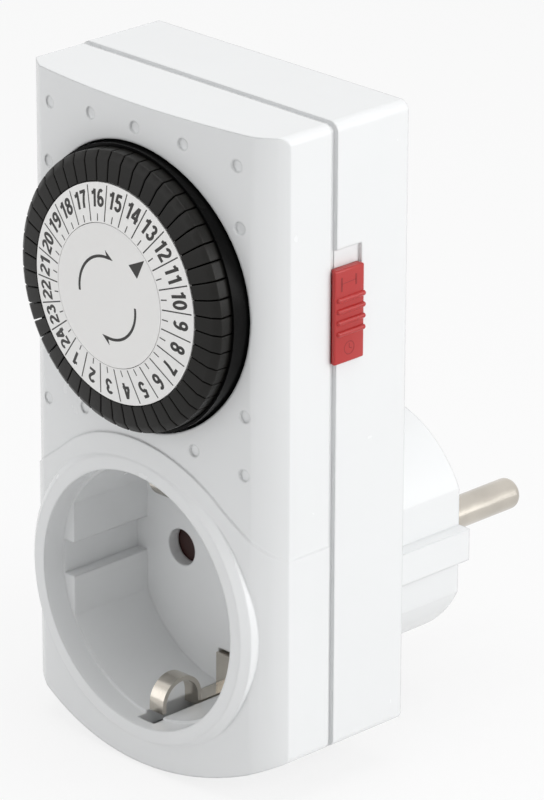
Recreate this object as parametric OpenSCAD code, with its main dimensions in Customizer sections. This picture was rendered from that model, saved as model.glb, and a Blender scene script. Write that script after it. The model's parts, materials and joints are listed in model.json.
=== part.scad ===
// Plug-in mechanical 24 hour timer switch, in millimetres.
// +X is to the right seen from the front, +Y goes into the wall, +Z is up.
// The origin is the middle of the plug's end face, half way between its two pins.

/* [Body] */
// Width of the body
body_w = 51.5; // [50.5:0.1:56]
// Height of the top above the plug's axis
top_z = 75; // [74:0.5:85]
// Depth of the lowest point below the plug's axis
foot_z = 25.3; // [25:0.1:30]
// Radius of the arc along the bottom
bottom_r = 52.6; // [52:0.1:60]
// Radius of the two lower corners
foot_r = 2; // [1:0.1:4]
// Radius of the two upper corners
top_r = 1.5; // [0.5:0.1:3]
// Thickness of the housing's walls
wall = 1.8; // [1.6:0.1:1.9]
// Depth of the rear shell, from its back to the parting line
rear_d = 14.3; // [13.5:0.1:15]
// Depth of the body at the middle of the front panel
panel_d = 27.8; // [27.5:0.05:28.2]
// Radius of the front panel's sideways curve
face_r = 131; // [120:1:145]
// Width of the swept margins at the sides of the front panel
margin_w = 4.55; // [4.4:0.05:5]
// Radius of the swept margins
margin_r = 10.1; // [9.8:0.1:11]
// How far the socket zone stands proud of the panel
zone_rise = 0.3; // [0.2:0.05:0.4]
// Radius of the round top of the socket zone
zone_r = 25; // [24:0.1:25.4]
// Height of the socket zone's shoulders
zone_z = 12.4; // [8:0.1:13]
// Width of the groove along the parting line
groove_w = 0.9; // [0.6:0.1:1.2]
// Depth of that groove, and of the lip that closes it
lip_in = 0.7; // [0.6:0.05:1]
// Diameter of the dimples in the front panel
dimple_d = 1.8; // [1:0.1:2.4]
// Depth of the dimples
dimple_depth = 0.35; // [0.2:0.05:0.6]

/* [Socket] */
// Radius of the socket's recess
recess_r = 19.5; // [19.3:0.05:19.8]
// Depth of the recess
recess_d = 18.1; // [17.6:0.05:18.4]
// How far the rim stands proud of the socket zone
rim_rise = 0.05; // [0.05:0.05:0.3]
// Outer radius of the rim's flat front and of the cup behind it
cup_r = 21.5; // [21:0.1:22]
// Outer radius of the rim at its foot
rim_r = 22.7; // [22.4:0.1:23]
// Half the distance between the two flats of the recess
flat_x = 16.9; // [16.6:0.1:17.4]
// Depth of the full circle in front of the flats
lead_in = 3.65; // [3:0.05:5]
// Width of the guide grooves in the flats
guide_w = 5.3; // [5:0.1:6]
// Thickness of the recess's floor
floor_t = 2; // [1.6:0.1:2.2]
// Distance between the two pins
pin_pitch = 19; // [18.5:0.5:19.5]
// Radius of the pin holes in the floor
hole_r = 2.8; // [2.6:0.05:3]
// Width of the earth clips
clip_w = 2.8; // [2.4:0.1:3.4]
// Thickness of the earth clips' metal
clip_t = 0.7; // [0.5:0.1:0.8]
// Radius of the earth clips' arch at its middle line
arch_r = 3.5; // [3:0.1:3.8]
// Distance of the arch's inner face from the socket's axis
arch_z = 13.95; // [13.6:0.05:14.4]

/* [Plug] */
// Length of the plug's body, from the housing's back to its end face
plug_l = 21; // [20:0.5:23]
// Radius of the plug's body
plug_r = 18.7; // [18.4:0.1:19]
// Half the distance between the plug's flats
plug_flat_x = 16.8; // [16.4:0.1:17]
// Half the distance over the plug's side ribs
rib_x = 19; // [18.5:0.1:19.3]
// Width of the plug's side ribs
rib_w = 5; // [4.6:0.1:5.2]
// Radius of the plug's pins
pin_r = 2.4; // [2.3:0.05:2.45]
// Length of the plug's pins
pin_l = 19; // [18:0.5:20]
// Thickness of the plug's end wall
plug_end_t = 2.6; // [2:0.1:4]
// Wall between the plug's cavity and its flats
plug_wall = 2.2; // [2:0.1:2.4]
// Width of the plug's earth strips
strip_w = 5.6; // [4:0.2:6.4]
// Thickness of the plug's earth strips
strip_t = 0.8; // [0.6:0.1:1]

/* [Dial] */
// Height of the dial's centre above the plug's axis
dial_z = 47.8; // [47.6:0.1:48.4]
// How far the front of the tabs stands out from the panel
tab_out = 4; // [3.9:0.05:4.2]
// Number of half-hour tabs
tab_count = 48; // [48:48:48]
// Outer radius of the tabs
tab_r = 20.4; // [20.2:0.05:20.5]
// Inner radius of the tabs
tab_in_r = 16.2; // [16:0.05:16.6]
// Travel of a tab when it is pushed in
tab_travel = 1.8; // [1.2:0.1:1.8]
// Length of a tab's head, from its front to its shoulder
tab_head = 3.25; // [3:0.05:3.9]
// Gap between neighbouring tabs
tab_gap = 0.16; // [0.16:0.02:0.4]
// Thickness of the drum wall round the tabs
drum_t = 0.4; // [0.35:0.05:0.5]
// Running clearance between dial and housing
dial_gap = 0.35; // [0.3:0.05:0.5]
// Outer radius of the flange that keeps the dial in the housing
flange_r = 22.4; // [22.2:0.05:22.6]
// Outer radius of the number ring
number_r = 16.05; // [15.6:0.05:16.1]
// Outer radius of the fixed centre disc
disc_r = 10.45; // [10:0.05:11]
// Radius of the post that the dial turns on
post_r = 3; // [2.5:0.1:3.2]
// Running clearance of the dial's hub on its post
hub_gap = 0.05; // [0.03:0.01:0.08]

/* [Slide switch] */
// Height of the slide switch's lower end above the plug's axis
slide_z = 39.9; // [39.5:0.1:41]
// Length of the slide switch
slide_l = 13.9; // [13.5:0.1:14.6]
// Width of the slide switch
slide_w = 5.2; // [4.8:0.1:5.3]
// How far the slide switch stands out of the body
slide_out = 0.8; // [0.5:0.1:1.2]
// Travel of the slide switch
slide_travel = 2.6; // [2:0.1:2.8]
// Radius of the ribs on the slide switch
slide_rib_r = 0.42; // [0.3:0.02:0.5]
// Distance between those ribs
slide_rib_pitch = 1.67; // [1.6:0.01:1.9]

/* [Gear train] */
// Distance between the arbors, and from the first one to the rotor
arbor_gap = 8.5; // [8.4:0.05:8.6]
// Teeth of each small pinion
pinion_teeth = 8; // [8:1:8]
// Teeth of each of the four large gears
gear_teeth = 60; // [60:1:60]
// Teeth of the clutch gear
clutch_teeth = 64; // [64:1:64]
// Teeth of the pinion that drives the dial
drive_teeth = 9; // [9:1:9]
// Teeth of the gear ring on the dial
dial_teeth = 128; // [128:1:128]
// Thickness of each gear
gear_t = 0.8; // [0.6:0.05:0.85]
// Distance between the layers of gears
gear_step = 1.05; // [1:0.01:1.06]
// Radius of the gears' arbors
arbor_r = 0.4; // [0.3:0.02:0.42]
// Running clearance of the gears on their arbors
arbor_gap_r = 0.05; // [0.03:0.01:0.06]

/* [Motor] */
// Sideways place of the motor
motor_x = -8; // [-8.3:0.1:-7.6]
// Height of the motor above the plug's axis
motor_z = 56; // [55.8:0.1:56.4]
// Outer radius of the motor's cup
motor_r = 15; // [14:0.1:15.2]
// Wall of the motor's cup
motor_wall = 0.8; // [0.6:0.1:1]
// Radius of the rotor's magnet
rotor_r = 5.8; // [5:0.1:6]

/* [Hidden] */
function tab_name(h) = str("tabs_hour_", h < 10 ? "0" : "", h);

fit_gap = 0.05;
seat_gap = 0.1;
cut = 1;
big = 200;
$fn = 64;

// Planes across the depth, from the plug's end face at 0 towards the viewer
y_back = -plug_l;
y_part = y_back - rear_d;
y_front_edge = y_part - groove_w / 2;
y_rear_edge = y_part + groove_w / 2;
y_panel = y_back - panel_d;
y_zone = y_panel - zone_rise;
y_rim = y_zone - rim_rise;
y_floor = y_rim + recess_d;
y_floor_back = y_floor + floor_t;
y_inside = y_back - 2;
lip_l = 1.4;

// Outline of the body seen from the front, drawn in by i
bottom_cz = bottom_r - foot_z;
min_r = 0.3;
foot_push = 0.12;
function top_corner_r(i) = max(top_r - i, min_r);
function foot_corner_r(i) = max(foot_r - i, min_r);
function foot_cx(i) = body_w / 2 - i - foot_corner_r(i);
function foot_reach(i) = bottom_r - i - foot_corner_r(i);
function foot_cz(i) = bottom_cz - sqrt(pow(foot_reach(i), 2) - pow(foot_cx(i), 2));
function foot_a(i) = asin(foot_cx(i) / foot_reach(i));
module top_corner(i) {
    translate([body_w / 2 - i - top_corner_r(i), top_z - i - top_corner_r(i)]) difference() {
        square(2 * top_corner_r(i));
        circle(r = top_corner_r(i));
    }
}
module foot_corner(i) {
    translate([foot_cx(i) + foot_push * cos(31), foot_cz(i) - foot_push * sin(31)]) difference() {
        polygon([[0, 0], [2 * foot_corner_r(i), 0], [2 * foot_corner_r(i), -4 * foot_corner_r(i)],
            [3 * foot_corner_r(i) * sin(foot_a(i)), -3 * foot_corner_r(i) * cos(foot_a(i))]]);
        circle(r = foot_corner_r(i));
    }
}
module outline(i) {
    difference() {
        intersection() {
            translate([i - body_w / 2, -big / 2]) square([body_w - 2 * i, big / 2 + top_z - i]);
            union() {
                translate([0, bottom_cz]) circle(r = bottom_r - i, $fn = 256);
                translate([-big / 2, bottom_cz]) square(big);
            }
        }
        for (m = [0, 1]) mirror([m, 0]) {
            top_corner(i);
            foot_corner(i);
        }
    }
}

// Front surface seen from above: a wide arc and a tighter one at each margin
panel_half = body_w / 2 - margin_w;
margin_slope = 0.3746;
margin_in = margin_r * margin_slope;
margin_reach = body_w / 2 + 1;
margin_overlap = 1.7;
function face_drop(x) = face_r - sqrt(face_r * face_r - x * x);
function margin_cy(y) = y + face_drop(panel_half) + sqrt(margin_r * margin_r - margin_in * margin_in);
module face(y) {
    intersection() {
        translate([0, y + face_r]) circle(r = face_r, $fn = 360);
        union() {
            translate([margin_overlap - panel_half, y - cut])
                square([2 * (panel_half - margin_overlap), y_back - y + 2 * cut]);
            for (m = [0, 1]) mirror([m, 0]) intersection() {
                translate([panel_half - margin_in, margin_cy(y)]) circle(r = margin_r, $fn = 96);
                translate([0, y - cut]) square([margin_reach, margin_cy(y) - y + cut]);
            }
            translate([-margin_reach, margin_cy(y) - margin_r / 3])
                square([2 * margin_reach, y_back + cut - margin_cy(y) + margin_r / 3]);
        }
    }
}

// Dial: planes and radii
y_tab = y_panel - tab_out;
number_rise = 1;
number_t = 0.5;
y_number = y_tab - number_rise;
y_wheel = y_tab + number_t;
y_disc = y_number;
y_shoulder = y_tab + tab_head;
y_wheel_floor = y_shoulder + tab_travel + seat_gap;
wheel_floor_t = 1.3;
y_stem = y_wheel_floor + wheel_floor_t + 0.2;
drum_in_r = tab_r + seat_gap;
drum_r = drum_in_r + drum_t;
drum_show = 0.2;
y_drum = y_shoulder - drum_show;
opening_r = drum_r + dial_gap;
collar_r = opening_r + 1.6;
y_flange = y_panel + 5.65;
flange_t = 0.7;
y_collar = y_flange - 0.3;
y_dial_gear = y_flange - 0.2;
dial_gear_t = 1;
y_wheel_back = y_dial_gear + dial_gear_t;
drum_core_r = 13.2;
hub_r = post_r + hub_gap;
stem_in_r = 17.2;
stem_out_r = 19.6;
stem_half = 0.72;
tab_angle = 360 / tab_count;
first_hour_angle = -123;
tabs_each_hour = tab_count / 24;

// Gear train: every pinion drives the large gear of the next compound gear
gear_module = 2 * arbor_gap / (pinion_teeth + gear_teeth);
clutch_module = 2 * arbor_gap / (pinion_teeth + clutch_teeth);
drive_module = clutch_module;
dial_mesh = drive_module * (drive_teeth + dial_teeth) / 2;
motor_to_dial = norm([motor_x, motor_z - dial_z]);
mesh_a = acos((pow(arbor_gap, 2) + pow(motor_to_dial, 2) - pow(dial_mesh, 2))
    / (2 * arbor_gap * motor_to_dial));
motor_dir = atan2(dial_z - motor_z, -motor_x);
arbor_a = [motor_x + arbor_gap * cos(motor_dir + mesh_a), motor_z + arbor_gap * sin(motor_dir + mesh_a)];
arbor_turn = -10;
arbor_b = [arbor_a.x + arbor_gap * cos(arbor_turn), arbor_a.y + arbor_gap * sin(arbor_turn)];
motor_axis = [motor_x, motor_z];
dial_axis = [0, dial_z];
motor_plate_t = 1;
gear_plate_t = 1;
y_gear_plate = y_flange + 1.75;
y_motor_plate = y_gear_plate + 7.2;
y_layer_1 = y_motor_plate - 0.25;
function y_layer(k) = y_layer_1 - (k - 1) * gear_step;

// Movement posts and screws
movement_posts = [[-12, 38.5], [14.5, 68.5], [9.5, 39.5]];
movement_post_r = 1.9;
movement_screw_r = 0.8;
movement_head_r = 1.5;
movement_head_t = 0.6;
movement_screw_l = 5;
housing_posts = [[20.6, 69.6], [-20.6, 69.6], [21, -14.6], [-21, -14.6]];
housing_post_r = 2.6;
screw_r = 1.25;
screw_head_r = 2.1;
screw_head_t = 1.6;
screw_sink = 6;
screw_l = 15;

// Slide switch, lever and contacts
recess_in = 0.55;
slot_y = [y_rear_edge - cut, y_rear_edge + 4.85];
slide_y = [y_front_edge + 0.15, y_front_edge + 0.15 + slide_w];
slide_x = [body_w / 2 - recess_in + seat_gap, body_w / 2 + slide_out];
neck_y = [y_part + 1.4, y_part + 3.4];
neck_z = [slide_z + 4.9, slide_z + 8.7];
inner_x = body_w / 2 - wall;
leg_x = [inner_x - 0.85, inner_x - 0.15];
bump_in = 0.35;
finger_z = [31, 33];
pivot = [inner_x - 2.15, y_motor_plate - 5.4];
leg_y = [pivot.y - 3, pivot.y - 1];
lever_z = [28.2, 40.8];
lever_pin_r = 0.8;
lever_barrel_r = 1.25;
lug_t = 1.6;
nose_a = first_hour_angle + 75 + tab_angle / 2;
nose_r = 1.1;
nose_at = [dial_axis.x + 18.4 * cos(nose_a), dial_axis.y + 18.4 * sin(nose_a)];
y_nose = y_stem + tab_travel + 0.25;
leaf_z = [27.5, 30.5];
leaf_t = 0.3;
y_leaf = y_motor_plate - 0.8;
leaf_x = [13.2, 19.5];
leaf_bend_x = 14.2;
contact_x = 18.5;
contact_z = 29;
contact_gap = 1.1;
toe_x = 17;
y_strip = y_floor_back + 1.8;
strip_metal = 0.6;
grip_r = 2.45;
grip_t = 0.6;
grip_l = 14;
riser_x = [plug_flat_x - 3.2, plug_flat_x - 2.6];
y_pin_tail = -8;
pin_tail_r = 2;
pin_neck_r = 2;
pin_base = 0.2;
pin_hole_r = pin_r + 0.1;
pin_hole_l = 0.4;
y_foot = -6.8;
half_pitch = pin_pitch / 2;
y_earth = y_floor + 5;
earth_end_z = plug_r - 0.1;

// Solid with an outline in the X-Z plane, from y0 to y1
module along_y(y0, y1) {
    translate([0, y1, 0]) rotate([90, 0, 0]) linear_extrude(height = y1 - y0) children();
}
// Round bar along Y at p = [x, z]
module bar_y(p, r, y0, y1) {
    translate([p.x, y0, p.y]) rotate([-90, 0, 0]) cylinder(r = r, h = y1 - y0);
}
// Round bar along Z at p = [x, y]
module bar_z(p, r, z0, z1) {
    translate([p.x, p.y, z0]) cylinder(r = r, h = z1 - z0);
}
// Block between two corners
module block(x, y, z) {
    translate([x[0], y[0], z[0]]) cube([x[1] - x[0], y[1] - y[0], z[1] - z[0]]);
}
// Turned solid about an axis along Y at p, from [radius, y] points
module turned(p, points) {
    translate([p.x, 0, p.y]) rotate([-90, 0, 0]) rotate_extrude($fn = 128) polygon(points);
}
// Places children, drawn along +X, at angle a about the dial's axis
module at_dial_angle(a) {
    translate([dial_axis.x, 0, dial_axis.y]) rotate([0, -a, 0]) children();
}

// Spur gear outline with slim straight-sided teeth; one tooth points along turn
function gear_points(teeth, m, turn) = [
    for (k = [0:teeth - 1]) let (a = turn + k * 360 / teeth, pitch_a = 360 / teeth, r = m * teeth / 2)
    for (s = [[-0.3, -1.15], [-0.1, 0.75], [0.1, 0.75], [0.3, -1.15]])
        [(r + s[1] * m) * cos(a + s[0] * pitch_a), (r + s[1] * m) * sin(a + s[0] * pitch_a)]];
module gear(p, teeth, m, turn, y0, y1) {
    translate([p.x, 0, p.y]) along_y(y0, y1) polygon(gear_points(teeth, m, turn));
}
function direction(p, q) = atan2(q.y - p.y, q.x - p.x);

// ---- housing ----
module body_solid(y, y_end) {
    intersection() {
        along_y(y - cut, y_end) outline(0);
        translate([0, 0, -big / 2]) linear_extrude(height = big) face(y);
    }
}
shoulder = [23.7, 13.6];
ramp = [14, 20.5];
side_step = 0.15;
module above_zone() {
    difference() {
        translate([-big / 2, zone_z]) square(big);
        circle(r = zone_r, $fn = 128);
        for (m = [0, 1]) mirror([m, 0])
            polygon([[0, 0], [body_w / 2 - fit_gap, 0], [body_w / 2 - fit_gap, zone_z + fit_gap],
                shoulder, ramp, [0, ramp.y]]);
    }
}
guide_step = 0.4;
module recess_void() {
    bar_y([0, 0], recess_r, y_rim - cut, y_rim + lead_in);
    along_y(y_rim + lead_in - cut, y_floor) intersection() {
        circle(r = recess_r - guide_step, $fn = 128);
        union() {
            square([2 * flat_x, 3 * recess_r], center = true);
            square([3 * recess_r, guide_w], center = true);
        }
    }
}
side_dimples = [[9.3, 71.05], [18.9, 70.1], [19.4, 61.2], [20.3, 33.7], [20.2, 24.9], [11.3, 26.3]];
dimples = concat([[0, 71.3]], side_dimples, [for (p = side_dimples) [-p.x, p.y]]);
module front_shell() {
    difference() {
        body_solid(y_zone, y_front_edge);
        difference() {
            along_y(y_zone - cut, y_front_edge + cut) above_zone();
            intersection() {
                translate([0, 0, -big / 2]) linear_extrude(height = big) face(y_panel);
                along_y(y_zone - 2 * cut, y_front_edge + 2 * cut) outline(side_step);
            }
        }
        intersection() {
            along_y(y_panel, y_front_edge + cut) outline(wall);
            translate([0, 0, -big / 2]) linear_extrude(height = big) face(y_panel + wall);
        }
        along_y(y_part - groove_w / 2 - lip_l - seat_gap, y_front_edge + cut) outline(lip_in - fit_gap);
    }
}
clip_slot_w = clip_w + 0.6;
module earth_slot() {
    block([-clip_slot_w / 2, clip_slot_w / 2], [y_rim + 1.95, y_floor + seat_gap], [recess_r - 2.5,
        cup_r + cut]);
    block([-clip_slot_w / 2, clip_slot_w / 2], [y_floor - cut, y_floor_back + cut], [arch_z - 0.35,
        recess_r + 0.3]);
}
rim_slope = 1;
rim_l = 3.2;
module rim_and_cup() {
    turned([0, 0], [
        [0, y_rim], [cup_r, y_rim], [rim_r, y_rim + rim_slope], [rim_r, y_rim + rim_l],
        [cup_r, y_rim + rim_l], [cup_r, y_floor_back], [0, y_floor_back]]);
}
stop_z = [9.4, 10.6];
stop_x = [-4.4, -2.4];
shutter_pin_r = 1.2;
module front_housing() {
    color("whitesmoke") difference() {
        union() {
            front_shell();
            rim_and_cup();
            intersection() {
                bar_y(dial_axis, collar_r, y_panel, y_collar);
                body_solid(y_panel + wall / 2, y_collar);
            }
            for (p = housing_posts) bar_y(p, housing_post_r, y_panel + 3.25, y_part);
            bar_y([0, 0], shutter_pin_r, y_floor_back - cut, y_floor_back + 2.1);
            block(stop_x, [y_floor_back - cut, y_floor_back + 1.8], stop_z);
        }
        recess_void();
        for (s = [-1, 1]) bar_y([s * half_pitch, 0], hole_r, y_floor - cut, y_floor_back + cut);
        earth_slot();
        mirror([0, 0, 1]) earth_slot();
        bar_y(dial_axis, opening_r, y_panel - cut, y_collar + cut);
        for (p = dimples)
            bar_y(p, dimple_d / 2, y_panel - cut, y_panel + face_drop(p.x) + dimple_depth);
        for (p = housing_posts) bar_y(p, screw_r, y_part - screw_l + screw_sink + 1, y_part + cut);
    }
}

module plug_outline() {
    intersection() {
        circle(r = plug_r, $fn = 128);
        square([2 * plug_flat_x, 3 * plug_r], center = true);
    }
    square([2 * rib_x, rib_w], center = true);
}
module plug_cavity() {
    along_y(y_inside - cut, -plug_end_t) intersection() {
        circle(r = plug_r - 3.5, $fn = 96);
        square([2 * (plug_flat_x - plug_wall), 3 * plug_r], center = true);
    }
}
module strip_groove() {
    block([-strip_w / 2 - fit_gap, strip_w / 2 + fit_gap], [y_inside - cut, -1 + fit_gap],
        [earth_end_z - strip_t - fit_gap, earth_end_z + fit_gap]);
    block([-strip_w / 2 - fit_gap, strip_w / 2 + fit_gap], [y_back, -1 + fit_gap],
        [earth_end_z - strip_t, plug_r + cut]);
}
module rear_housing() {
    color("white") difference() {
        union() {
            difference() {
                along_y(y_rear_edge, y_back) outline(0);
                along_y(y_rear_edge - cut, y_inside) outline(wall);
            }
            difference() {
                along_y(y_front_edge - lip_l, y_rear_edge + 1) outline(lip_in);
                along_y(y_front_edge - lip_l - cut, y_rear_edge + 2) outline(wall);
            }
            along_y(y_back - seat_gap, 0) plug_outline();
            for (p = housing_posts) bar_y(p, housing_post_r + 0.4, y_part, y_back - seat_gap);
            for (p = movement_posts) bar_y(p, movement_post_r, y_gear_plate + gear_plate_t,
                y_inside + seat_gap);
            for (z = [[lever_z[0] - seat_gap - lug_t, lever_z[0] - seat_gap],
                [lever_z[1] + seat_gap, lever_z[1] + seat_gap + lug_t]])
                block([pivot.x - 2, leg_x[0] - seat_gap], [pivot.y - 1.5, y_inside + seat_gap], z);
        }
        plug_cavity();
        for (s = [-1, 1]) {
            bar_y([s * half_pitch, 0], pin_neck_r, -plug_end_t - cut, cut);
            bar_y([s * half_pitch, 0], pin_hole_r, -pin_hole_l, cut);
        }
        strip_groove();
        mirror([0, 0, 1]) strip_groove();
        for (p = housing_posts) {
            bar_y(p, screw_r + 0.15, y_part - cut, y_back + cut);
            bar_y(p, screw_head_r + 0.2, y_back - screw_sink, y_back + cut);
        }
        for (p = movement_posts) bar_y(p, movement_screw_r, y_gear_plate,
            y_gear_plate + gear_plate_t + movement_screw_l);
        bar_z(pivot, lever_pin_r, lever_z[0] - big / 4, lever_z[1] + seat_gap + lug_t + cut);
        block([body_w / 2 - recess_in, body_w / 2 + cut], slot_y, [slide_z - 0.2,
            slide_z + slide_l + slide_travel + 0.1]);
        block([inner_x - cut, body_w / 2 + cut], [neck_y[0] - 0.15, neck_y[1] + 0.15],
            [neck_z[0] - 0.2, neck_z[1] + slide_travel + 0.2]);
    }
}

// ---- dial ----
hub_wall = 1.5;
wheel_front_t = 1;
drum_inner_r = 20.2;
y_wheel_inner = y_wheel_floor + wheel_floor_t;
dial_root_r = drive_module * (dial_teeth / 2 - 1.1);
module wheel_body() {
    turned(dial_axis, [
        [hub_r, y_wheel], [number_r, y_wheel], [number_r, y_wheel_floor], [drum_in_r, y_wheel_floor],
        [drum_in_r, y_drum], [drum_r, y_drum], [drum_r, y_flange], [flange_r, y_flange],
        [flange_r, y_flange + flange_t], [drum_inner_r, y_flange + flange_t], [drum_inner_r, y_wheel_inner],
        [dial_root_r, y_wheel_inner], [dial_root_r, y_wheel_back], [drum_core_r, y_wheel_back],
        [drum_core_r, y_wheel + wheel_front_t], [hub_r + hub_wall, y_wheel + wheel_front_t],
        [hub_r + hub_wall, y_gear_plate - seat_gap], [hub_r, y_gear_plate - seat_gap]]);
}
module dial_wheel() {
    color("#202022") difference() {
        union() {
            wheel_body();
            difference() {
                gear(dial_axis, dial_teeth, drive_module, direction(dial_axis, arbor_a) + 180 / dial_teeth,
                    y_dial_gear, y_wheel_back);
                bar_y(dial_axis, drum_core_r + cut, y_dial_gear - cut, y_wheel_back + cut);
            }
        }
        for (k = [0:tab_count - 1]) at_dial_angle(first_hour_angle + (k - 0.5) * tab_angle)
            block([stem_in_r - fit_gap, stem_out_r + fit_gap], [y_wheel_floor - cut, y_wheel_inner + cut],
                [-stem_half - fit_gap, stem_half + fit_gap]);
    }
}
module number_ring() {
    color("white") difference() {
        turned(dial_axis, [[0, y_number], [disc_r, y_number], [number_r, y_tab], [number_r,
            y_wheel], [0, y_wheel]]);
        bar_y(dial_axis, disc_r + seat_gap, y_number - cut, y_wheel + cut, $fn = 128);
    }
}
spigot_r = 1.6;
module centre_disc() {
    color("whitesmoke") {
        bar_y(dial_axis, disc_r, y_disc, y_wheel - seat_gap, $fn = 128);
        bar_y(dial_axis, post_r, y_wheel - seat_gap, y_gear_plate);
        bar_y(dial_axis, spigot_r, y_gear_plate, y_gear_plate + gear_plate_t);
    }
}
tab_land_r = tab_r - 1.2;
tab_land_y = 0.45;
tab_slope = 1.2;
gap_a_in = tab_gap / tab_in_r * 90 / PI;
module tab() {
    rotate([-90, 0, 0]) rotate([0, 0, gap_a_in - tab_angle / 2])
        rotate_extrude(angle = tab_angle - 2 * gap_a_in, $fn = 96) polygon([
            [tab_in_r, y_tab], [tab_land_r, y_tab + tab_land_y], [tab_r, y_tab + tab_slope],
            [tab_r, y_shoulder], [tab_in_r, y_shoulder]]);
    block([stem_in_r, stem_out_r], [y_shoulder - seat_gap, y_stem], [-stem_half, stem_half]);
}
module tabs_of(h) {
    color("#1c1c1e") for (k = [0:tabs_each_hour - 1])
        at_dial_angle(first_hour_angle + (h - 1) * tab_angle * tabs_each_hour + (k - 0.5) * tab_angle) tab();
}

// ---- movement ----
plate_eyes = [[dial_axis, 8], [arbor_a, 4], [arbor_b, 3.4]];
// Arms of the gear plate: left edge, lower edge, width and height of each
plate_arms = [
    [-6.5, 47, 13, 16], [-14.4, 36.4, 4.8, 16], [-14.4, 42, 14, 8],
    [6.5, 36.4, 5.6, 14], [0, 43, 12.1, 6], [4, 60, 12.9, 10.6]];
pinion_hole_r = 1.6;
module gear_plate() {
    color("gold") difference() {
        along_y(y_gear_plate, y_gear_plate + gear_plate_t) {
            for (e = plate_eyes) translate(e[0]) circle(r = e[1]);
            for (a = plate_arms) translate([a[0], a[1]]) square([a[2], a[3]]);
        }
        bar_y(dial_axis, spigot_r, y_gear_plate - cut, y_gear_plate + gear_plate_t + cut);
        bar_y(arbor_a, pinion_hole_r, y_gear_plate - cut, y_gear_plate + gear_plate_t + cut);
        bar_y(arbor_b, arbor_r, y_gear_plate - cut, y_gear_plate + gear_plate_t + cut);
        for (p = movement_posts) bar_y(p, movement_screw_r, y_gear_plate - cut,
            y_gear_plate + gear_plate_t + cut);
    }
}
module gear_arbors() {
    color("silver") {
        bar_y(arbor_a, arbor_r, y_dial_gear + 0.1, y_motor_plate + motor_plate_t);
        bar_y(arbor_b, arbor_r, y_gear_plate, y_motor_plate + motor_plate_t);
    }
}
module compound(p, from, to, k) {
    difference() {
        union() {
            gear(p, gear_teeth, gear_module, direction(p, from) + 180 / gear_teeth,
                y_layer(k) - gear_t, y_layer(k));
            gear(p, pinion_teeth, k == 4 ? clutch_module : gear_module, direction(p, to),
                y_layer(k + 1) - gear_t, y_layer(k) - gear_t + fit_gap);
        }
        bar_y(p, arbor_r + arbor_gap_r, y_layer(k + 1) - gear_t - cut, y_layer(k) + cut);
    }
}
module gear_1() {
    color("ivory") compound(arbor_a, motor_axis, arbor_b, 1);
}
module gear_2() {
    color("ivory") compound(arbor_b, arbor_a, arbor_a, 2);
}
module gear_3() {
    color("ivory") compound(arbor_a, arbor_b, arbor_b, 3);
}
module gear_4() {
    color("ivory") compound(arbor_b, arbor_a, arbor_a, 4);
}
module clutch_gear() {
    color("ivory") difference() {
        gear(arbor_a, clutch_teeth, clutch_module, direction(arbor_a, arbor_b) + 180 / clutch_teeth,
            y_layer(5) - gear_t, y_layer(5));
        bar_y(arbor_a, arbor_r + arbor_gap_r, y_layer(5) - gear_t - cut, y_layer(5) + cut);
    }
}
clutch_flange_r = 3;
clutch_flange_t = 0.6;
module clutch_pinion() {
    color("ivory") difference() {
        union() {
            gear(arbor_a, drive_teeth, drive_module, direction(arbor_a, dial_axis),
                y_dial_gear - seat_gap / 2, y_layer(5) - gear_t - seat_gap - clutch_flange_t + fit_gap);
            bar_y(arbor_a, clutch_flange_r, y_layer(5) - gear_t - seat_gap - clutch_flange_t,
                y_layer(5) - gear_t - seat_gap);
        }
        bar_y(arbor_a, arbor_r + arbor_gap_r, y_dial_gear - cut, y_layer(5));
    }
}
shaft_r = 0.6;
module motor_rotor() {
    color("dimgray") {
        bar_y(motor_axis, rotor_r, y_motor_plate + motor_plate_t + 0.5, y_inside - motor_wall - 0.8);
        bar_y(motor_axis, shaft_r, y_layer(1), y_motor_plate + motor_plate_t + 0.5 + fit_gap);
        gear(motor_axis, pinion_teeth, gear_module, direction(motor_axis, arbor_a),
            y_layer(1) - gear_t, y_layer(1) + fit_gap);
    }
}
module motor_plate() {
    color("silver") difference() {
        bar_y(motor_axis, motor_r, y_motor_plate, y_motor_plate + motor_plate_t);
        bar_y(motor_axis, shaft_r + 0.06, y_motor_plate - cut, y_motor_plate + motor_plate_t + cut);
        for (p = [arbor_a, arbor_b]) bar_y(p, arbor_r, y_motor_plate - cut,
            y_motor_plate + motor_plate_t + cut);
    }
}
module motor_cup() {
    color("silver") difference() {
        bar_y(motor_axis, motor_r, y_motor_plate + motor_plate_t, y_inside);
        bar_y(motor_axis, motor_r - motor_wall, y_motor_plate + motor_plate_t - cut, y_inside - motor_wall);
    }
}
bobbin_r = rotor_r + 0.5;
bobbin_t = 0.7;
bobbin_y = [y_motor_plate + motor_plate_t + 0.2, y_inside - motor_wall - 0.2];
module motor_bobbin() {
    color("#b8c4c8") turned(motor_axis, [
        [bobbin_r, bobbin_y[0]], [motor_r - motor_wall - 0.3, bobbin_y[0]],
        [motor_r - motor_wall - 0.3, bobbin_y[0] + bobbin_t], [bobbin_r + bobbin_t, bobbin_y[0] + bobbin_t],
        [bobbin_r + bobbin_t, bobbin_y[1] - bobbin_t], [motor_r - motor_wall - 0.3, bobbin_y[1] - bobbin_t],
        [motor_r - motor_wall - 0.3, bobbin_y[1]], [bobbin_r, bobbin_y[1]]]);
}
module motor_coil() {
    color("peru") turned(motor_axis, [
        [bobbin_r + bobbin_t + fit_gap, bobbin_y[0] + bobbin_t + fit_gap],
        [motor_r - motor_wall - 1, bobbin_y[0] + bobbin_t + fit_gap],
        [motor_r - motor_wall - 1, bobbin_y[1] - bobbin_t - fit_gap],
        [bobbin_r + bobbin_t + fit_gap, bobbin_y[1] - bobbin_t - fit_gap]]);
}
lead_r = 0.5;
lead_live = [riser_x[1] + lead_r, -28];
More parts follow.
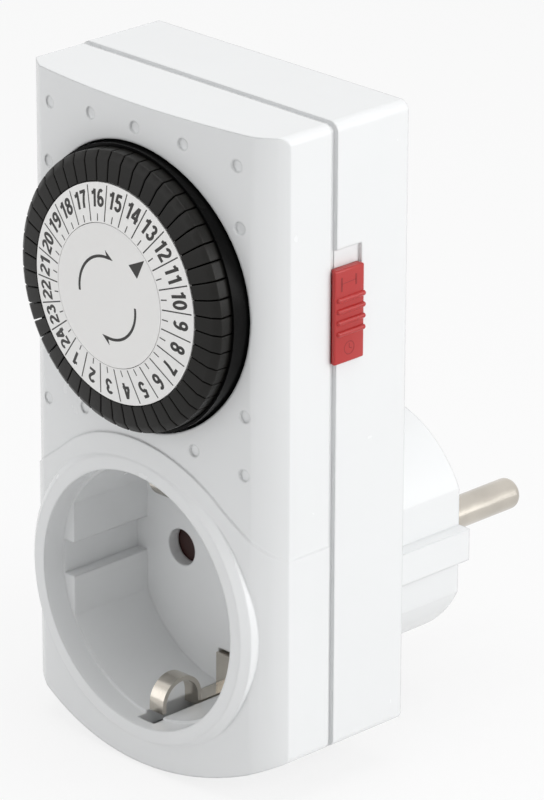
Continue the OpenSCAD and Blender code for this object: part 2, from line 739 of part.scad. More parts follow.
lead_neutral = [-half_pitch, y_strip + strip_metal + lead_r];
lead_live_z = [27.6, 44.5];
lead_neutral_z = [20, 41];
lead_end_x = 1.5;
module motor_leads() {
    color("firebrick") {
        bar_z(lead_live, lead_r, lead_live_z[0], lead_live_z[1]);
        translate([lead_end_x, lead_live.y, lead_live_z[1] - lead_r]) rotate([0, 90, 0])
            cylinder(r = lead_r, h = lead_live.x - lead_end_x);
        bar_z(lead_neutral, lead_r, lead_neutral_z[0], lead_neutral_z[1]);
    }
}

// ---- switch ----
module slide_switch() {
    color("#a01818") {
        difference() {
            block(slide_x, slide_y, [slide_z, slide_z + slide_l]);
            block([body_w / 2 + slide_out - 0.15, body_w], [slide_y[0] + 1.6, slide_y[0] + 3.6],
                [slide_z + slide_l - 3.1, slide_z + slide_l - 2.7]);
            difference() {
                translate([body_w / 2 + slide_out - 0.15, slide_y[0] + slide_w / 2,
                    slide_z + 2.2]) rotate([0, 90, 0])
                    cylinder(r = 1.1, h = cut);
                translate([body_w / 2, slide_y[0] + slide_w / 2, slide_z + 2.2]) rotate([0, 90, 0])
                    cylinder(r = 0.75, h = 2 * cut);
            }
        }
        for (k = [0:3]) translate([body_w / 2 + slide_out, slide_y[0] + 0.3,
            slide_z + 4.5 + k * slide_rib_pitch])
            rotate([-90, 0, 0]) cylinder(r = slide_rib_r, h = slide_w - 0.6);
        block([leg_x[0], slide_x[0] + fit_gap], neck_y, neck_z);
        block(leg_x, [leg_y[0], neck_y[1]], neck_z);
        block(leg_x, leg_y, [lever_z[0] - 0.7, neck_z[1]]);
        along_y(leg_y[0], leg_y[0] + 1.4) polygon([
            [leg_x[0] + fit_gap, finger_z[0] - 3.5], [leg_x[0] - bump_in, finger_z[0] - 3],
            [leg_x[0] - bump_in, finger_z[0] - slide_travel], [leg_x[0] + fit_gap, finger_z[0]]]);
    }
}
arm_y = [pivot.y - 0.7, pivot.y + 0.7];
module follower_lever() {
    color("#d8d8d0") difference() {
        union() {
            bar_z(pivot, lever_barrel_r, lever_z[0], lever_z[1]);
            block([nose_at.x - nose_r, pivot.x], arm_y, [nose_at.y - nose_r, nose_at.y + nose_r]);
            block([toe_x - 0.5, pivot.x], arm_y, [lever_z[0], lever_z[0] + 2.4]);
            block([toe_x - 0.5, toe_x + 0.5], [arm_y[0], y_leaf - 0.34], [lever_z[0] + 0.2,
                lever_z[0] + 1.6]);
            bar_y(nose_at, nose_r, y_nose, arm_y[1]);
            block([pivot.x - 0.6, leg_x[0] - seat_gap], [leg_y[0] + 0.2, pivot.y], finger_z);
        }
        bar_z(pivot, lever_pin_r, lever_z[0] - cut, lever_z[1] + cut);
    }
}
module lever_pin() {
    color("silver") bar_z(pivot, lever_pin_r - fit_gap, lever_z[0] - seat_gap - lug_t,
        lever_z[1] + seat_gap + lug_t);
}
module contact_leaf() {
    color("darkgoldenrod") {
        block(leaf_x, [y_leaf, y_leaf + leaf_t], leaf_z);
        bar_y([contact_x, contact_z], 1.2, y_leaf + leaf_t - fit_gap, y_leaf + leaf_t + 0.5);
    }
}
y_fixed = y_leaf + leaf_t + 0.5 + contact_gap;
module live_inlet_strip() {
    color("darkgoldenrod") difference() {
        union() {
            block([half_pitch - 3, riser_x[1]], [y_foot, y_foot + strip_metal], [-2.5, 2.5]);
            block(riser_x, [y_strip - 1.4, y_foot + strip_metal], [-2.5, 2.5]);
            block(riser_x, [y_strip - 1.4, y_strip - 0.3], [-2.5, leaf_z[1]]);
            block(riser_x, [y_leaf + leaf_t, y_strip - 0.3], leaf_z);
            block([leaf_x[0], riser_x[1]], [y_leaf + leaf_t, y_leaf + leaf_t + strip_metal], leaf_z);
        }
        bar_y([half_pitch, 0], pin_tail_r, y_foot - cut, y_foot + strip_metal + cut);
    }
}
module sleeve(x) {
    difference() {
        union() {
            bar_y([x, 0], grip_r + grip_t, y_strip, y_strip + grip_l);
            block([x - 1.5, x + 1.5], [y_strip, y_strip + strip_metal], [0, 23.5]);
        }
        bar_y([x, 0], grip_r, y_strip - cut, y_strip + grip_l + cut);
    }
}
module live_outlet_strip() {
    color("darkgoldenrod") {
        sleeve(half_pitch);
        block([half_pitch - 1.5, contact_x + 1.1], [y_strip, y_strip + strip_metal], [23.4, 26]);
        block([contact_x - 1.1, contact_x + 1.1], [y_strip, y_strip + strip_metal], [25.9, leaf_z[1]]);
        block([contact_x - 1.1, contact_x + 1.1], [y_fixed + 0.5, y_strip + strip_metal],
            [leaf_z[1] - 0.6, leaf_z[1]]);
        block([contact_x - 1.1, contact_x + 1.1], [y_fixed + 0.5, y_fixed + 1.1], leaf_z);
        bar_y([contact_x, contact_z], 1.2, y_fixed, y_fixed + 0.5 + fit_gap);
    }
}
module neutral_strip() {
    color("darkgoldenrod") difference() {
        union() {
            sleeve(-half_pitch);
            block([-half_pitch - grip_r - grip_t, -half_pitch - grip_r], [y_strip + grip_l - 1,
                y_foot + strip_metal], [-1.2, 1.2]);
            block([-half_pitch - grip_r - grip_t, 3 - half_pitch], [y_foot, y_foot + strip_metal],
                [-2.5, 2.5]);
        }
        bar_y([-half_pitch, 0], pin_tail_r, y_foot - cut, y_foot + strip_metal + cut);
    }
}

// ---- pins, earth and shutter ----
pin_tip_r = 1.3;
pin_shoulder_r = 3.2;
module pin(x) {
    translate([x, 0, 0]) {
        rotate([-90, 0, 0]) rotate_extrude() {
            translate([0, pin_base]) square([pin_r, pin_l - pin_tip_r - pin_base]);
            translate([0, pin_base]) square([pin_r - pin_tip_r, pin_l - pin_base]);
            intersection() {
                translate([pin_r - pin_tip_r, pin_l - pin_tip_r]) circle(r = pin_tip_r, $fn = 48);
                square([pin_r, pin_l]);
            }
        }
        bar_y([0, 0], pin_neck_r, -plug_end_t, pin_base + fit_gap);
        bar_y([0, 0], pin_shoulder_r, y_foot + strip_metal, -plug_end_t);
        bar_y([0, 0], pin_tail_r, y_pin_tail, y_foot + strip_metal + fit_gap);
    }
}
module plug_pins() {
    color("silver") for (s = [-1, 1]) pin(s * half_pitch);
}
arch_y = y_rim + 7.8;
arch_cz = arch_z + clip_t / 2 + arch_r;
clip_wall_z = recess_r + 0.1;
module clip_outline() {
    translate([arch_y, arch_cz]) difference() {
        intersection() {
            circle(r = arch_r + clip_t / 2, $fn = 64);
            translate([-arch_r - clip_t, -arch_r - clip_t]) square([2 * (arch_r + clip_t),
                arch_r + clip_t + fit_gap]);
        }
        circle(r = arch_r - clip_t / 2, $fn = 64);
    }
    translate([arch_y - arch_r - clip_t / 2, arch_cz]) square([clip_t, 1]);
    translate([arch_y + arch_r - clip_t / 2, arch_cz]) square([clip_t, clip_wall_z - arch_cz]);
    translate([arch_y + arch_r - clip_t / 2, clip_wall_z - clip_t])
        square([y_floor - seat_gap - arch_y - arch_r + clip_t / 2, clip_t]);
    translate([y_floor - seat_gap - clip_t, arch_z]) square([clip_t, clip_wall_z - arch_z]);
    translate([y_floor - seat_gap - clip_t,
        arch_z]) square([y_earth + clip_t - y_floor + seat_gap + clip_t, clip_t]);
    translate([y_earth, 0]) square([clip_t, earth_end_z]);
}
module along_x(x0, x1) {
    translate([x0, 0, 0]) rotate([90, 0, 90]) linear_extrude(height = x1 - x0) children();
}
module earth_bar() {
    color("silver") along_x(-clip_w / 2, clip_w / 2) {
        clip_outline();
        mirror([0, 1]) clip_outline();
    }
}
module plug_earth_strips() {
    color("silver") for (m = [0, 1]) mirror([0, 0, m])
        block([-strip_w / 2, strip_w / 2], [y_earth + clip_t, -1], [earth_end_z - strip_t, earth_end_z]);
}
shutter_y = [y_floor_back + 0.15, y_floor_back + 1.35];
module shutter() {
    color("#5a1410") difference() {
        block([-12.4, 12.4], shutter_y, [-3.4, 3.4]);
        bar_y([0, 0], shutter_pin_r + fit_gap, shutter_y[0] - cut, shutter_y[1] + cut);
    }
}
spring_y = [shutter_y[1] + 0.1, shutter_y[1] + 0.6];
module shutter_spring() {
    color("silver") difference() {
        union() {
            bar_y([0, 0], shutter_pin_r + 0.6, spring_y[0], spring_y[1]);
            block([-2, -1.5], spring_y, [0, stop_z[0] - fit_gap]);
            block([0, 5.5], spring_y, [1.2, 1.7]);
        }
        bar_y([0, 0], shutter_pin_r + fit_gap, spring_y[0] - cut, spring_y[1] + cut);
    }
}
slot_cut = 0.5;
module housing_screws() {
    color("silver") for (p = housing_posts) difference() {
        union() {
            bar_y(p, screw_r, y_back - screw_sink - screw_l, y_back - screw_sink);
            bar_y(p, screw_head_r, y_back - screw_sink, y_back - screw_sink + screw_head_t);
        }
        for (a = [0, 90]) translate([p.x, 0, p.y]) rotate([0, a, 0])
            block([-1.3, 1.3], [y_back - screw_sink + screw_head_t - 0.8, y_back], [-slot_cut / 2,
                slot_cut / 2]);
    }
}
module movement_screws() {
    color("silver") for (p = movement_posts) {
        bar_y(p, movement_screw_r, y_gear_plate - fit_gap, y_gear_plate + movement_screw_l);
        bar_y(p, movement_head_r, y_gear_plate - movement_head_t, y_gear_plate);
    }
}

front_housing();
rear_housing();
dial_wheel();
number_ring();
centre_disc();
gear_plate();
motor_cup();
motor_plate();
motor_bobbin();
motor_coil();
motor_rotor();
gear_1();
gear_2();
gear_3();
gear_4();
clutch_gear();
clutch_pinion();
gear_arbors();
slide_switch();
follower_lever();
lever_pin();
contact_leaf();
live_inlet_strip();
live_outlet_strip();
neutral_strip();
plug_pins();
earth_bar();
plug_earth_strips();
shutter();
shutter_spring();
motor_leads();
housing_screws();
movement_screws();
tabs_of(1);  // tabs_hour_01
tabs_of(2);  // tabs_hour_02
tabs_of(3);  // tabs_hour_03
tabs_of(4);  // tabs_hour_04
tabs_of(5);  // tabs_hour_05
tabs_of(6);  // tabs_hour_06
tabs_of(7);  // tabs_hour_07
tabs_of(8);  // tabs_hour_08
tabs_of(9);  // tabs_hour_09
tabs_of(10);  // tabs_hour_10
tabs_of(11);  // tabs_hour_11
tabs_of(12);  // tabs_hour_12
tabs_of(13);  // tabs_hour_13
tabs_of(14);  // tabs_hour_14
tabs_of(15);  // tabs_hour_15
tabs_of(16);  // tabs_hour_16
tabs_of(17);  // tabs_hour_17
tabs_of(18);  // tabs_hour_18
tabs_of(19);  // tabs_hour_19
tabs_of(20);  // tabs_hour_20
tabs_of(21);  // tabs_hour_21
tabs_of(22);  // tabs_hour_22
tabs_of(23);  // tabs_hour_23
tabs_of(24);  // tabs_hour_24
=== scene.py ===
"""Looks of a plug-in mechanical 24 hour timer switch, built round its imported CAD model."""

import json
import math

import bmesh
import bpy
from mathutils import Matrix, Vector


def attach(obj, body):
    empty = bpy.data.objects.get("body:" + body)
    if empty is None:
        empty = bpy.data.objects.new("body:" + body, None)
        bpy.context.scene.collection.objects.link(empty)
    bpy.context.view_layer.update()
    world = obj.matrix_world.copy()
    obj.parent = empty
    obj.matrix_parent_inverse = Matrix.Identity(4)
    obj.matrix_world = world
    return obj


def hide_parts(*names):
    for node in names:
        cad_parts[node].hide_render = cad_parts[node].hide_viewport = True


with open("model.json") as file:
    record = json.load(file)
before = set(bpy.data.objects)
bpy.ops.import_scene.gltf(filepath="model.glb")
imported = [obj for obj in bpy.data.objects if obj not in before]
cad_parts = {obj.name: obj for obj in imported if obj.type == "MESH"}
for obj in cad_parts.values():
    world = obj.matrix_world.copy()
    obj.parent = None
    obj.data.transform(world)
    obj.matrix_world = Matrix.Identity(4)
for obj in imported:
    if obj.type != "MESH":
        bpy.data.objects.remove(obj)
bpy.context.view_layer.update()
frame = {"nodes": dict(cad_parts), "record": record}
nodes = frame["nodes"]
MM = 0.001
HOURS = 24


def link(name, data):
    """A new object of that data in the scene."""
    obj = bpy.data.objects.new(name, data)
    bpy.context.scene.collection.objects.link(obj)
    return obj


def mesh_of(bm, name):
    """A new mesh of a bmesh, which is freed."""
    mesh = bpy.data.meshes.new(name)
    bm.to_mesh(mesh)
    bm.free()
    return mesh


# ---- materials ----
CLOUD_SCALE, CLOUD_RANGE = 60.0, (0.3, 0.7)
GLOSS_SCALE = 240.0
GRAIN_DEPTH = 0.05
EDGE_SAMPLES = 6
BRUSH_SCALE, BRUSH_STRETCH = 2500.0, 0.06
BRUSH_DEPTH, BRUSH_STRENGTH = 0.03, 0.15
DULL_SCALE, DULL_RANGE = 180.0, (0.35, 0.7)
LEAST_ROUGH = 0.05


def new_material(name):
    mat = bpy.data.materials.new(name)
    mat.use_nodes = True
    return mat, mat.node_tree.nodes, mat.node_tree.links, mat.node_tree.nodes["Principled BSDF"]


def noise(ns, ln, coords, scale, detail=3.0):
    """The output of a noise texture over the coordinates of a socket."""
    n = ns.new("ShaderNodeTexNoise")
    n.inputs["Scale"].default_value = scale
    n.inputs["Detail"].default_value = detail
    ln.new(coords, n.inputs["Vector"])
    return n.outputs["Fac"]


def color_from(ns, ln, source, between, low, high, bsdf):
    """Gives a surface its colour, from low to high as the source passes through a range."""
    r = ns.new("ShaderNodeValToRGB")
    for stop, position, color in zip(r.color_ramp.elements, between, (low, high)):
        stop.position = position
        stop.color = (*color, 1)
    ln.new(source, r.inputs["Fac"])
    ln.new(r.outputs["Color"], bsdf.inputs["Base Color"])


def rough_from(ns, ln, source, low, high, bsdf):
    """Gives a surface its roughness, from low to high with the source."""
    rr = ns.new("ShaderNodeMapRange")
    rr.inputs["To Min"].default_value = low
    rr.inputs["To Max"].default_value = high
    ln.new(source, rr.inputs["Value"])
    ln.new(rr.outputs["Result"], bsdf.inputs["Roughness"])


def bump_from(ns, ln, source, strength, depth, bsdf):
    """Gives a surface small bumps of a depth in mm, and returns the bump node."""
    b = ns.new("ShaderNodeBump")
    b.inputs["Strength"].default_value = strength
    b.inputs["Distance"].default_value = depth * MM
    ln.new(source, b.inputs["Height"])
    ln.new(b.outputs["Normal"], bsdf.inputs["Normal"])
    return b


def plastic(name, color, rough, grain=0.0, grain_scale=4000.0, vary=0.02, rough_vary=0.05,
            spec=0.5, edge=0.0):
    """Moulded plastic: faint cloudy colour, uneven gloss, a fine grain and soft edges (edge in mm)."""
    mat, ns, ln, bsdf = new_material(name)
    place = ns.new("ShaderNodeTexCoord").outputs["Object"]
    dark = tuple(c * (1 - vary) for c in color)
    light = tuple(min(1, c * (1 + vary)) for c in color)
    color_from(ns, ln, noise(ns, ln, place, CLOUD_SCALE), CLOUD_RANGE, dark, light, bsdf)
    rough_from(ns, ln, noise(ns, ln, place, GLOSS_SCALE), rough - rough_vary, rough + rough_vary, bsdf)
    if grain:
        bump = bump_from(ns, ln, noise(ns, ln, place, grain_scale, 2.0), grain, GRAIN_DEPTH, bsdf)
        if edge:
            soft = ns.new("ShaderNodeBevel")
            soft.samples = EDGE_SAMPLES
            soft.inputs["Radius"].default_value = edge * MM
            ln.new(soft.outputs["Normal"], bump.inputs["Normal"])
    bsdf.inputs["Specular IOR Level"].default_value = spec
    return mat


def metal(name, color, rough, brush_axis=None, vary=0.12):
    """Metal with fine drawing lines along an axis and a few dull patches."""
    mat, ns, ln, bsdf = new_material(name)
    place = ns.new("ShaderNodeTexCoord").outputs["Object"]
    stretch = ns.new("ShaderNodeMapping")
    scale = [1.0, 1.0, 1.0]
    if brush_axis is not None:
        scale[brush_axis] = BRUSH_STRETCH
    stretch.inputs["Scale"].default_value = scale
    ln.new(place, stretch.inputs["Vector"])
    brush = noise(ns, ln, stretch.outputs["Vector"], BRUSH_SCALE)
    rough_from(ns, ln, brush, max(LEAST_ROUGH, rough - 0.08), rough + 0.1, bsdf)
    dark = tuple(c * (1 - vary) for c in color)
    color_from(ns, ln, noise(ns, ln, place, DULL_SCALE), DULL_RANGE, dark, color, bsdf)
    bump_from(ns, ln, brush, BRUSH_STRENGTH, BRUSH_DEPTH, bsdf)
    bsdf.inputs["Metallic"].default_value = 1.0
    return mat


WHITE = (0.80, 0.81, 0.815)
mats = {
    "white_abs": plastic("white_abs", WHITE, 0.26, grain=0.05, vary=0.006, rough_vary=0.03, edge=0.5),
    "label_white": plastic("label_white", (0.88, 0.875, 0.865), 0.42, grain=0.05, vary=0.01),
    "black_abs": plastic("black_abs", (0.0105, 0.01, 0.009), 0.36, grain=0.25, grain_scale=2500,
                         vary=0.15, spec=0.19),
    "drum_black": plastic("drum_black", (0.003, 0.003, 0.003), 0.26, grain=0.05, vary=0.1, spec=0.07),
    "red_abs": plastic("red_abs", (0.43, 0.022, 0.02), 0.3, grain=0.06, vary=0.05),
    # Darker red for the cap's moulded marks: painted shade standing in for the light and shade on their
    # relief.
    "relief_shade_red": plastic("relief_shade_red", (0.27, 0.01, 0.01), 0.35, vary=0.05),
    "brown_abs": plastic("brown_abs", (0.035, 0.009, 0.007), 0.4, grain=0.1, vary=0.08),
    "natural_nylon": plastic("natural_nylon", (0.68, 0.65, 0.55), 0.45, grain=0.1),
    "bright_steel": metal("bright_steel", (0.55, 0.55, 0.56), 0.28),
    "copper_wire": metal("copper_wire", (0.52, 0.2, 0.09), 0.35),
    "ferrite": plastic("ferrite", (0.05, 0.05, 0.05), 0.6, grain=0.4),
    "contact_brass": metal("contact_brass", (0.62, 0.45, 0.18), 0.3),
    "nickelled_brass": metal("nickelled_brass", (0.60, 0.56, 0.50), 0.18, brush_axis=1),
    "lead_cover": plastic("lead_cover", (0.35, 0.03, 0.02), 0.4),
    "print_black": plastic("print_black", (0.02, 0.019, 0.018), 0.5, vary=0.1),
}
slot_of = {s["node"]: s["material_slot"] for s in frame["record"]["subparts"]}


def smooth(obj, degrees=32.0):
    """Smooth shading, with edges over that many degrees kept sharp."""
    for poly in obj.data.polygons:
        poly.use_smooth = True
    mod = obj.modifiers.new("edge_split", "EDGE_SPLIT")
    mod.split_angle = math.radians(degrees)
    mod.use_edge_sharp = False


OTHER_LOOKS = {"number_ring": "label_white", "centre_disc": "label_white", "dial_wheel": "drum_black"}
for node_name, obj in nodes.items():
    mat = mats[OTHER_LOOKS.get(node_name, slot_of[node_name])]
    if not obj.data.materials:
        obj.data.materials.append(mat)
    for i in range(len(obj.data.materials)):
        obj.data.materials[i] = mat


def stands_for(obj, node_name, body):
    """Makes an object ride on a body in the place of a CAD node."""
    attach(obj, body)
    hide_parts(node_name)


# ---- rounded copies of CAD nodes ----
SAME_PLACE = 0.002
THIN = 0.02
FLAT = math.radians(0.6)
SHARP = math.radians(28.0)


def rounded(node_name, body, width, segments=3):
    """A copy of a CAD node whose sharp edges are rounded; it stands for that node."""
    obj = link(node_name + "_skin", nodes[node_name].data.copy())
    bm = bmesh.new()
    bm.from_mesh(obj.data)
    bmesh.ops.remove_doubles(bm, verts=bm.verts, dist=SAME_PLACE * MM)
    bmesh.ops.dissolve_degenerate(bm, edges=bm.edges, dist=THIN * MM)
    bmesh.ops.dissolve_limit(bm, angle_limit=FLAT, verts=bm.verts, edges=bm.edges)
    bm.normal_update()
    bm.to_mesh(obj.data)
    bm.free()
    mod = obj.modifiers.new("round", "BEVEL")
    mod.width = width * MM
    mod.segments = segments
    mod.limit_method = "ANGLE"
    mod.angle_limit = SHARP
    mod.miter_outer = "MITER_ARC"
    mod.use_clamp_overlap = True
    for poly in obj.data.polygons:
        poly.use_smooth = True
    normals = obj.modifiers.new("normals", "WEIGHTED_NORMAL")
    normals.keep_sharp = False
    normals.weight = 80
    stands_for(obj, node_name, body)


# ---- print on the dial ----
DIAL_Z = 47.8
PRINT_LIFT = 0.012
PRINT_THICK = 0.02


def thin_faces(name, loops, inward, mat, body):
    """Print or marks a hair thick, from loops of points in mm, that ride on a body."""
    bm = bmesh.new()
    for loop in loops:
        face = bm.faces.new([bm.verts.new(Vector(p) * MM) for p in loop])
        out = bmesh.ops.extrude_face_region(bm, geom=[face])
        moved = [v for v in out["geom"] if isinstance(v, bmesh.types.BMVert)]
        bmesh.ops.translate(bm, verts=moved, vec=Vector(inward) * PRINT_THICK * MM)
    bmesh.ops.recalc_face_normals(bm, faces=bm.faces)
    obj = link(name, mesh_of(bm, name))
    obj.data.materials.append(mat)
    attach(obj, body)


def print_faces(name, loops, plane, body):
    """Prints loops of (x, z) in mm about the dial's centre.

    plane gives the depth in mm of the printed surface at a distance from the dial's axis."""
    placed = [[(x, plane(math.hypot(x, z)) - PRINT_LIFT, DIAL_Z + z) for x, z in loop] for loop in loops]
    thin_faces(name, placed, (0, 1, 0), mats["print_black"], body)


def bar_loop(r0, r1, degrees, width):
    """A radial bar from r0 to r1."""
    a = math.radians(degrees)
    u = Vector((math.cos(a), math.sin(a)))
    t = Vector((-math.sin(a), math.cos(a))) * width / 2
    return [tuple(u * r0 + t), tuple(u * r1 + t), tuple(u * r1 - t), tuple(u * r0 - t)]


DISC_R, DISC_Y = 10.45, -53.8
RING_R, RING_Y = 16.05, -52.8


def ring_plane(r):
    """Depth of the number ring's shallow cone at a radius."""
    return DISC_Y + (r - DISC_R) / (RING_R - DISC_R) * (RING_Y - DISC_Y)


def disc_plane(r):
    """Depth of the flat centre disc."""
    return DISC_Y


FIRST = -123.0
HOUR = 360.0 / HOURS
LINE_R, LINE_WIDTH = (10.75, 13.2, 15.75), 0.19
TICK_R, TICK_WIDTH = (10.75, 11.75), 0.17
lines = []
for h in range(HOURS):
    for r0, r1 in zip(LINE_R, LINE_R[1:]):
        lines.append(bar_loop(r0, r1, FIRST + HOUR * (h + 0.5), LINE_WIDTH))
ticks = [bar_loop(*TICK_R, FIRST + HOUR * h, TICK_WIDTH) for h in range(HOURS)]
print_faces("hour_lines", lines + ticks, ring_plane, "dial")

# Digits as strokes in a box one high; a stroke is a list of points or an arc (cx, cz, rx, rz, from, to)
DIGIT_HEIGHT, DIGIT_ADVANCE, STROKE, DIGIT_R = 2.45, 0.57, 0.19, 13.9
TOP, BOTTOM, MID = 0.9175, 0.0825, 0.28
DIGITS = {
    "0": [(MID, 0.5, 0.185, 0.4175, 0, 360)],
    "1": [[(0.36, 0.0), (0.36, 1.0)], [(0.1, 0.77), (0.2, 0.79), (0.3, 0.86), (0.36, 0.98)]],
    "2": [(MID, 0.715, 0.185, 0.2025, 170, -25), [(0.45, 0.63), (0.37, 0.5), (0.17, 0.27), (0.1, 0.06)],
          [(0.02, BOTTOM), (0.52, BOTTOM)]],
    "3": [(MID, 0.73, 0.17, 0.1875, 160, -90), (MID, 0.3125, 0.19, 0.23, 90, -165)],
    "4": [[(0.4, 0.0), (0.4, 1.0)], [(0.36, 0.96), (0.08, 0.33)], [(0.01, 0.29), (0.54, 0.29)]],
    "5": [[(0.5, TOP), (0.14, TOP)], [(0.17, 0.97), (0.11, 0.5)], (MID, 0.33, 0.19, 0.2475, 140, -160)],
    "6": [(MID, 0.3, 0.185, 0.2175, 0, 360), (0.305, 0.52, 0.21, 0.3975, 55, 190)],
    "7": [[(0.03, TOP), (0.53, TOP)], [(0.47, 0.93), (0.34, 0.66), (0.25, 0.34), (0.22, 0.0)]],
    "8": [(MID, 0.73, 0.165, 0.1875, 0, 360), (MID, 0.3, 0.19, 0.2175, 0, 360)],
    "9": [(MID, 0.7, 0.185, 0.2175, 0, 360), (0.255, 0.48, 0.21, 0.3975, 235, 370)],
}


def stroke_points(stroke, steps=20):
    """The points of a stroke that is a list of points or an arc."""
    if isinstance(stroke, list):
        return [Vector(p) for p in stroke]
    cx, cz, rx, rz, start, end = stroke
    angles = [math.radians(start + (end - start) * k / steps) for k in range(steps + 1)]
    return [Vector((cx + rx * math.cos(a), cz + rz * math.sin(a))) for a in angles]


def ribbon(points, width):
    """Quads that draw a line of that width through the points."""
    sides = []
    for k, p in enumerate(points):
        ahead = points[min(k + 1, len(points) - 1)]
        behind = points[max(k - 1, 0)]
        if (points[0] - points[-1]).length < 1e-6 and k in (0, len(points) - 1):
            ahead, behind = points[1], points[-2]
        d = (ahead - behind).normalized()
        n = Vector((-d.y, d.x)) * width / 2
        sides.append((p + n, p - n))
    return [[a[0], b[0], b[1], a[1]] for a, b in zip(sides, sides[1:])]


def number_loops(text, degrees):
    """The loops of a number that stands with its top outward at an angle of the dial."""
    a = math.radians(degrees)
    across = Vector((math.sin(a), -math.cos(a)))
    out = Vector((math.cos(a), math.sin(a)))
    start = -DIGIT_ADVANCE * len(text) / 2
    loops = []
    for k, digit in enumerate(text):
        for stroke in DIGITS[digit]:
            for quad in ribbon(stroke_points(stroke), STROKE):
                loops.append([tuple(across * (start + k * DIGIT_ADVANCE + p.x) * DIGIT_HEIGHT
                                    + out * (DIGIT_R + (p.y - 0.5) * DIGIT_HEIGHT)) for p in quad])
    return loops


numbers = []
for h in range(HOURS):
    numbers += number_loops(str(h + 1), FIRST + HOUR * h)
print_faces("dial_numbers", numbers, ring_plane, "dial")


def arc_through(p, q, bulge, n=18):
    """Points of the arc from p to q whose middle stands bulge off the chord, on the left."""
    p, q = Vector(p), Vector(q)
    mid = (p + q) / 2
    half = (q - p).length / 2
    d = (q - p).normalized()
    left = Vector((-d.y, d.x))
    r = (half * half + bulge * bulge) / (2 * bulge)
    c = mid + left * (bulge - r)
    a0 = math.atan2(p.y - c.y, p.x - c.x)
    a1 = math.atan2(q.y - c.y, q.x - c.x)
    while a1 > a0:
        a1 -= 2 * math.pi
    return [c + r * Vector((math.cos(a0 + (a1 - a0) * k / n), math.sin(a0 + (a1 - a0) * k / n)))
            for k in range(n + 1)]


def arrow(p, q, bulge, width):
    """A curved stroke from p to q with half a barbed head on its outer side."""
    pts = arc_through(p, q, bulge)
    left, right = [], []
    for k, v in enumerate(pts):
        d = (pts[min(k + 1, len(pts) - 1)] - pts[max(k - 1, 0)]).normalized()
        t = Vector((-d.y, d.x)) * width / 2
        left.append(tuple(v + t))
        right.append(tuple(v - t))
    d = (pts[-1] - pts[-3]).normalized()
    t = Vector((-d.y, d.x))
    head = [tuple(pts[-1] + d * 1.15 - t * 0.25), tuple(pts[-1] - d * 0.35 + t * 1.05),
            tuple(pts[-1] - d * 0.1 + t * 0.2), tuple(pts[-1] - t * width / 2)]
    return [left + right[::-1], head]


TRIANGLE = [(7.25, 7.13), (4.09, 5.67), (5.78, 4.1)]
ARROWS = [((-5.97, -0.69), (-0.32, 5.59)), ((5.32, -0.43), (-0.26, -6.29))]
ARROW_BULGE, ARROW_WIDTH = 2.0, 0.42
marks = [TRIANGLE]
for tail, tip in ARROWS:
    marks += arrow(tail, tip, ARROW_BULGE, ARROW_WIDTH)
print_faces("disc_marks", marks, disc_plane, "housing")

# ---- surfaces ----
HOUSING_EDGES = {"front_housing": 0.35, "rear_housing": 0.4}
TAB_EDGE = 0.13
tab_names = ["tabs_hour_%02d" % (h + 1) for h in range(HOURS)]
replaced = [*HOUSING_EDGES, *tab_names, "slide_switch"]
for node_name, obj in nodes.items():
    if node_name not in replaced:
        smooth(obj)
for node_name, width in HOUSING_EDGES.items():
    rounded(node_name, "housing", width)
for tabs in tab_names:
    rounded(tabs, tabs, TAB_EDGE, segments=2)

# ---- slide switch: its inner half from the CAD node, its cap rounded ----
CUT_X, STEM_X = 25.5, 25.35
CAP_X = (25.82, 26.55)
CAP_Y = (-35.9, -30.15)
CAP_Z = (39.9, 53.8)
STEM_Y = (-35.6, -30.4)
STEM_EDGE, CAP_EDGE = 0.08, 0.28
RIB_COUNT, RIB_R, RIB_Z, RIB_PITCH = 4, 0.4, 44.4, 1.67
RIB_X, RIB_Y = CAP_X[1] - 0.02, (CAP_Y[0] + 0.75, CAP_Y[1] - 0.25)


def box_into(bm, x, y, z, width):
    """Adds a box with rounded edges to a mesh."""
    part = bmesh.new()
    bmesh.ops.create_cube(part, size=1.0)
    size = Vector((x[1] - x[0], y[1] - y[0], z[1] - z[0])) * MM
    middle = Vector((x[0] + x[1], y[0] + y[1], z[0] + z[1])) * MM / 2
    bmesh.ops.scale(part, vec=size, verts=part.verts)
    bmesh.ops.translate(part, vec=middle, verts=part.verts)
    bmesh.ops.bevel(part, geom=part.edges[:], offset=width * MM, segments=4, profile=0.5, affect="EDGES")
    joined = mesh_of(part, "part")
    bm.from_mesh(joined)
    bpy.data.meshes.remove(joined)


def rib_into(bm, x, z, y, radius):
    """Adds a round rib with domed ends along the depth."""
    turn = Matrix.Rotation(math.radians(90), 4, "X")
    place = Matrix.Translation(Vector((x, (y[0] + y[1]) / 2, z)) * MM)
    bmesh.ops.create_cone(bm, cap_ends=False, segments=32, radius1=radius * MM, radius2=radius * MM,
                          depth=(y[1] - y[0]) * MM, matrix=place @ turn)
    for end in y:
        bmesh.ops.create_uvsphere(bm, u_segments=24, v_segments=16, radius=radius * MM,
                                  matrix=Matrix.Translation(Vector((x, end, z)) * MM))


